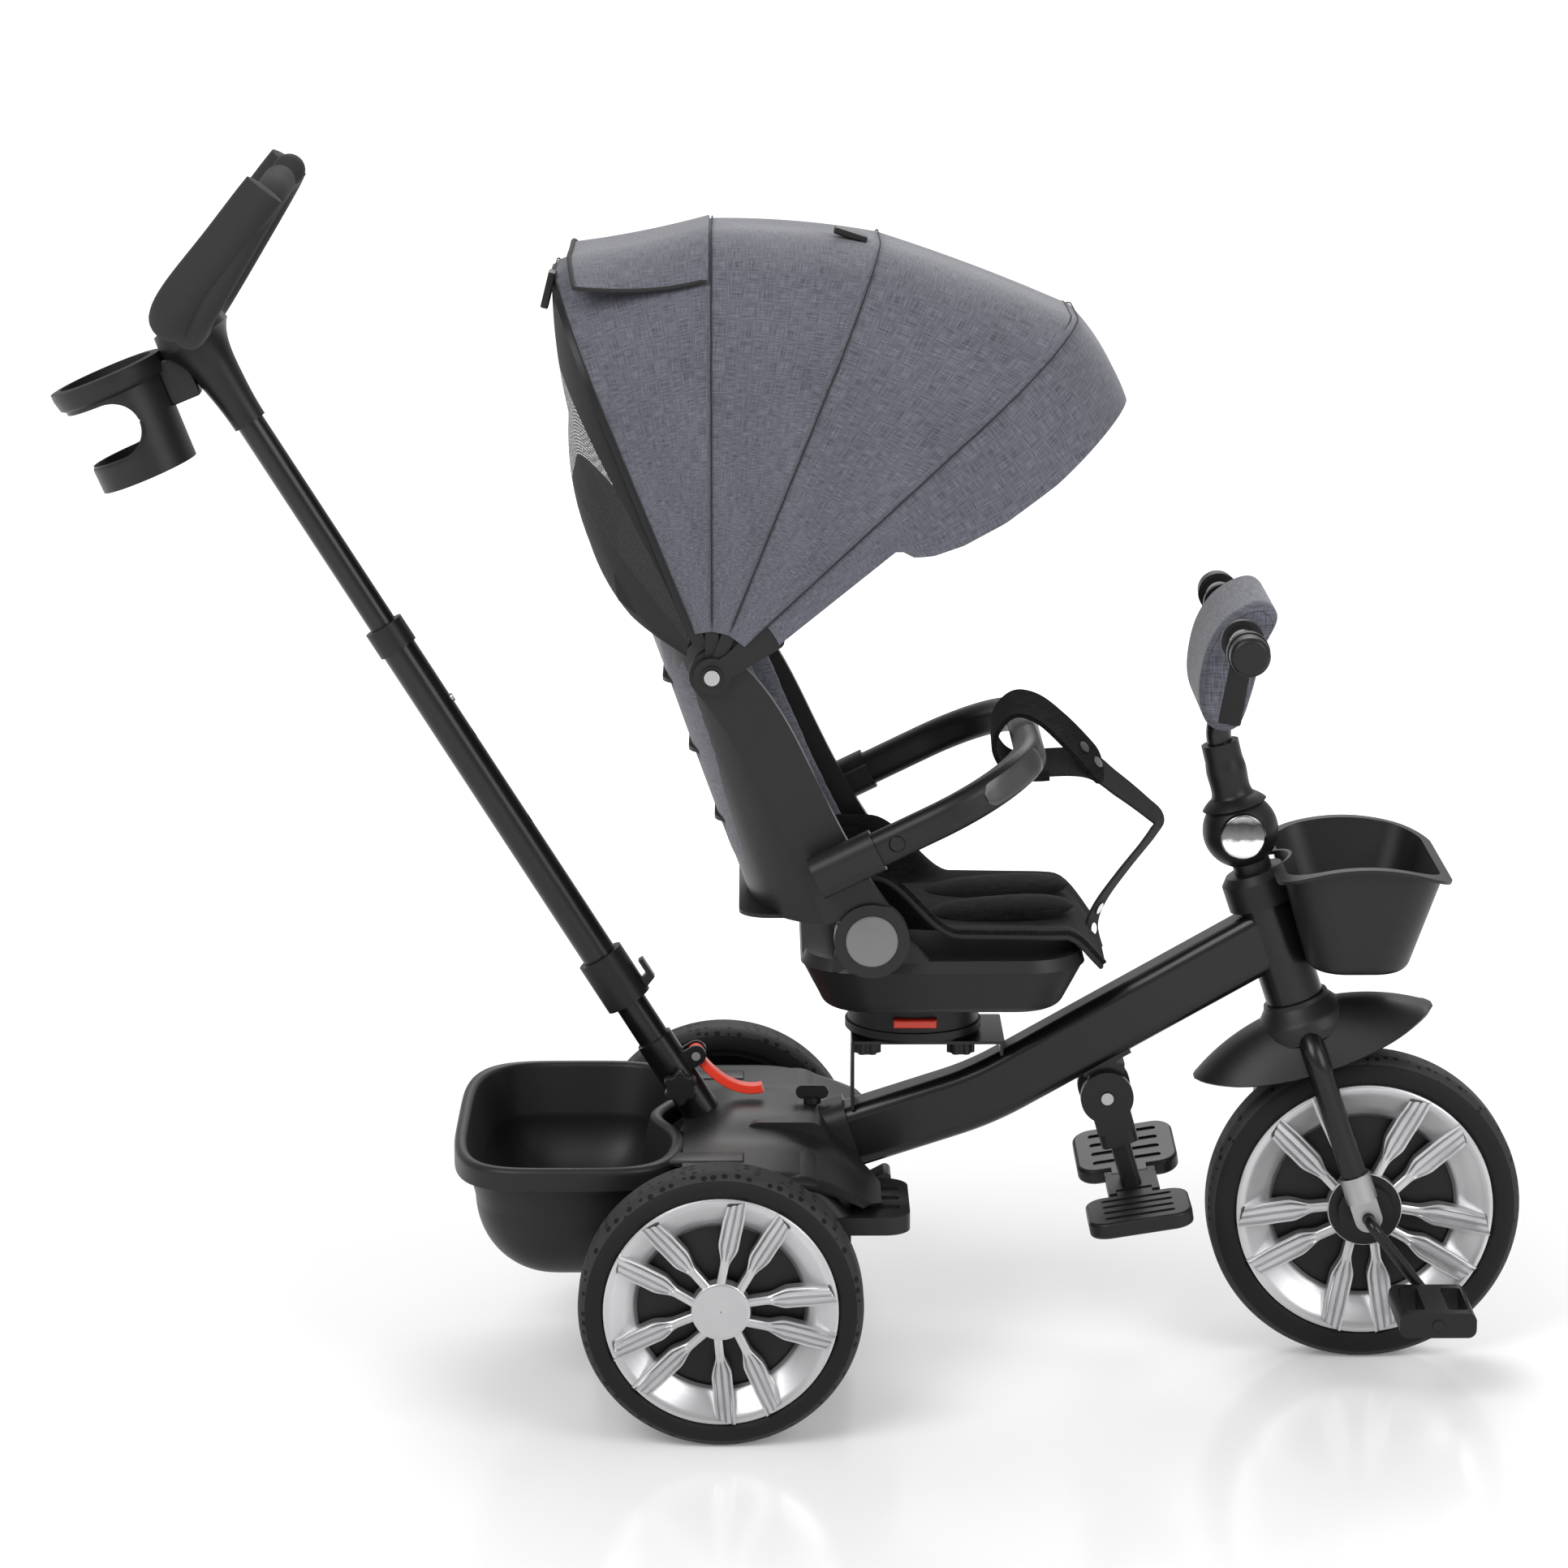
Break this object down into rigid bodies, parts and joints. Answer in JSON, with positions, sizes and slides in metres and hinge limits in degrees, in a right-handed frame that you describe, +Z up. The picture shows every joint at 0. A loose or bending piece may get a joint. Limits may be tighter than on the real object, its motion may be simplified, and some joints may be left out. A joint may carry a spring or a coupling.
{
  "type": "children's tricycle",
  "caption": "Push tricycle for a small child with a turning, reclining seat, folding canopy, guard bar, baskets, footrest and a sliding push pole.",
  "frame": {"origin": "on the floor, at the middle of the bounding box", "axes": "+X forward, +Y to the rider's left, +Z up"},
  "size_m": [1.156, 0.466, 0.9596],
  "materials": {
    "black_paint": "satin black powder coat",
    "black_plastic": "matt black moulded plastic",
    "silver_plastic": "silver painted plastic",
    "tyre_rubber": "foam rubber tread",
    "red_plastic": "red orange plastic",
    "grey_plastic": "grey button",
    "bright_chrome": "mirror chrome",
    "plated_steel": "zinc plated",
    "grip_foam": "black foam",
    "grey_cloth": "grey melange linen weave",
    "black_cloth": "black mesh and webbing"
  },
  "bodies": {
    "frame": {"main_frame": "black_paint", "rear_housing": "black_plastic", "rear_axle": "plated_steel", "rear_basket": "black_plastic", "front_basket": "black_plastic", "swivel_base": "black_plastic", "hand_screws": "black_plastic", "pole_socket": "black_paint", "pole_lower_tube": "black_paint", "pole_collars": "black_plastic"},
    "steer": {"fork": "black_paint", "front_fender": "black_plastic", "fork_dropouts": "plated_steel", "stem_ball": "black_plastic"},
    "handlebar": {"stem_neck": "black_plastic", "handlebar_bar": "black_paint", "handlebar_ends": "black_plastic", "handlebar_chrome": "bright_chrome", "handlebar_pad": "grey_cloth"},
    "front_wheel": {"front_tyre": "tyre_rubber", "front_wheel_core": "black_plastic", "front_wheel_covers": "silver_plastic", "crank": "black_paint"},
    "pedal_right": {"pedal_right": "black_plastic"},
    "pedal_left": {"pedal_left": "black_plastic"},
    "rear_wheel_right": {"rear_tyre_right": "tyre_rubber", "rear_wheel_core_right": "black_plastic", "rear_wheel_cover_right": "silver_plastic"},
    "rear_wheel_left": {"rear_tyre_left": "tyre_rubber", "rear_wheel_core_left": "black_plastic", "rear_wheel_cover_left": "silver_plastic"},
    "pole_upper": {"pole_upper_tube": "black_paint", "handle_housing": "black_plastic", "handle_loop": "grip_foam", "cup_holder": "black_plastic", "snap_button": "plated_steel"},
    "cam_lever": {"cam_lever": "red_plastic"},
    "pole_knob": {"pole_knob": "black_plastic"},
    "brake_pedal": {"brake_pedal": "black_plastic"},
    "seat": {"seat_base": "black_plastic", "seat_pan": "black_plastic", "seat_cushion": "black_cloth"},
    "swivel_release": {"swivel_release": "red_plastic"},
    "backrest": {"seat_back": "black_plastic", "recline_arms": "black_plastic", "back_cushion": "grey_cloth", "guard_bar": "black_plastic", "canopy_bow_rear": "black_plastic", "crotch_strap": "black_cloth", "canopy_cloth": "grey_cloth"},
    "recline_button_right": {"recline_button_right": "grey_plastic"},
    "recline_button_left": {"recline_button_left": "grey_plastic"},
    "guard_button_right": {"guard_button_right": "black_plastic"},
    "guard_button_left": {"guard_button_left": "black_plastic"},
    "canopy_2": {"canopy_bow_2": "black_plastic"},
    "canopy_3": {"canopy_bow_3": "black_plastic"},
    "canopy_front": {"canopy_bow_front": "black_plastic"},
    "footrest": {"footrest_arm": "black_plastic"},
    "footplate_right": {"footplate_right": "black_plastic"},
    "footplate_left": {"footplate_left": "black_plastic"}
  },
  "joints": [
    {"name": "steering", "type": "hinge", "parent": "frame", "child": "steer", "pos_m": [0.453, 0, 0.125], "axis": [-0.319, 0, 0.9478], "range_deg": [-30, 30]},
    {"name": "handlebar_tilt", "type": "hinge", "parent": "steer", "child": "handlebar", "pos_m": [0.34998, 0, 0.43113], "axis": [0, 1, 0], "range_deg": [0, 50]},
    {"name": "front_wheel_spin", "type": "hinge", "parent": "steer", "child": "front_wheel", "pos_m": [0.453, 0, 0.125], "axis": [0, 1, 0], "continuous": true},
    {"name": "pedal_right_spin", "type": "hinge", "parent": "front_wheel", "child": "pedal_right", "pos_m": [0.49733, 0, 0.06826], "axis": [0, 1, 0], "continuous": true},
    {"name": "pedal_left_spin", "type": "hinge", "parent": "front_wheel", "child": "pedal_left", "pos_m": [0.40867, 0, 0.18174], "axis": [0, 1, 0], "continuous": true},
    {"name": "rear_wheel_right_spin", "type": "hinge", "parent": "frame", "child": "rear_wheel_right", "pos_m": [-0.06, 0, 0.109], "axis": [0, 1, 0], "continuous": true},
    {"name": "rear_wheel_left_spin", "type": "hinge", "parent": "frame", "child": "rear_wheel_left", "pos_m": [-0.06, 0, 0.109], "axis": [0, 1, 0], "continuous": true},
    {"name": "pole_slide", "type": "slide", "parent": "frame", "child": "pole_upper", "axis": [-0.5314, 0, 0.8471], "range_m": [-0.114, 0.068], "deforming": ["snap_button"]},
    {"name": "cam_lever_turn", "type": "hinge", "parent": "frame", "child": "cam_lever", "pos_m": [-0.0804, 0, 0.24974], "axis": [0, 1, 0], "range_deg": [-90, 0]},
    {"name": "pole_knob_turn", "type": "hinge", "parent": "frame", "child": "pole_knob", "pos_m": [-0.09266, 0, 0.22789], "axis": [0, 1, 0], "continuous": true},
    {"name": "brake_press", "type": "hinge", "parent": "frame", "child": "brake_pedal", "pos_m": [0.051, 0, 0.139], "axis": [0, 1, 0], "range_deg": [0, 25]},
    {"name": "seat_swivel", "type": "hinge", "parent": "frame", "child": "seat", "pos_m": [0.092, 0, 0.28], "axis": [0, 0, 1], "range_deg": [0, 180]},
    {"name": "swivel_release_press", "type": "slide", "parent": "seat", "child": "swivel_release", "axis": [0, 1, 0], "range_m": [0, 0.005], "stiffness_N_per_m": 800},
    {"name": "seat_recline", "type": "hinge", "parent": "seat", "child": "backrest", "pos_m": [0.056, 0, 0.374], "axis": [0, 1, 0], "range_deg": [-20, 0], "deforming": ["crotch_strap"]},
    {"name": "recline_button_right_press", "type": "slide", "parent": "backrest", "child": "recline_button_right", "axis": [0, 1, 0], "range_m": [0, 0.0025], "stiffness_N_per_m": 800},
    {"name": "recline_button_left_press", "type": "slide", "parent": "backrest", "child": "recline_button_left", "axis": [0, -1, 0], "range_m": [0, 0.0025], "stiffness_N_per_m": 800},
    {"name": "guard_button_right_press", "type": "slide", "parent": "backrest", "child": "guard_button_right", "axis": [0, 1, 0], "range_m": [0, 0.002], "stiffness_N_per_m": 800},
    {"name": "guard_button_left_press", "type": "slide", "parent": "backrest", "child": "guard_button_left", "axis": [0, -1, 0], "range_m": [0, 0.002], "stiffness_N_per_m": 800},
    {"name": "canopy_fold", "type": "hinge", "parent": "backrest", "child": "canopy_2", "pos_m": [-0.066, 0, 0.582], "axis": [0, 1, 0], "range_deg": [-16, 0], "deforming": ["canopy_cloth"]},
    {"name": "canopy_fold_third", "type": "hinge", "parent": "canopy_2", "child": "canopy_3", "pos_m": [-0.066, 0, 0.582], "axis": [0, 1, 0], "range_deg": [-16, 0]},
    {"name": "canopy_fold_front", "type": "hinge", "parent": "canopy_3", "child": "canopy_front", "pos_m": [-0.066, 0, 0.582], "axis": [0, 1, 0], "range_deg": [-19.2, 0]},
    {"name": "footrest_fold", "type": "hinge", "parent": "frame", "child": "footrest", "pos_m": [0.246, 0, 0.218], "axis": [0, 1, 0], "range_deg": [0, 50]},
    {"name": "footplate_right_fold", "type": "hinge", "parent": "footrest", "child": "footplate_right", "pos_m": [0.26915, -0.028, 0.13725], "axis": [-0.9877, 0, -0.1564], "range_deg": [0, 70]},
    {"name": "footplate_left_fold", "type": "hinge", "parent": "footrest", "child": "footplate_left", "pos_m": [0.26915, 0.028, 0.13725], "axis": [0.9877, 0, 0.1564], "range_deg": [0, 58]}
  ],
  "couplings": [
    {"joint": "canopy_fold_third", "follows": "canopy_fold", "ratio": 1},
    {"joint": "canopy_fold_front", "follows": "canopy_fold", "ratio": 1.2}
  ]
}
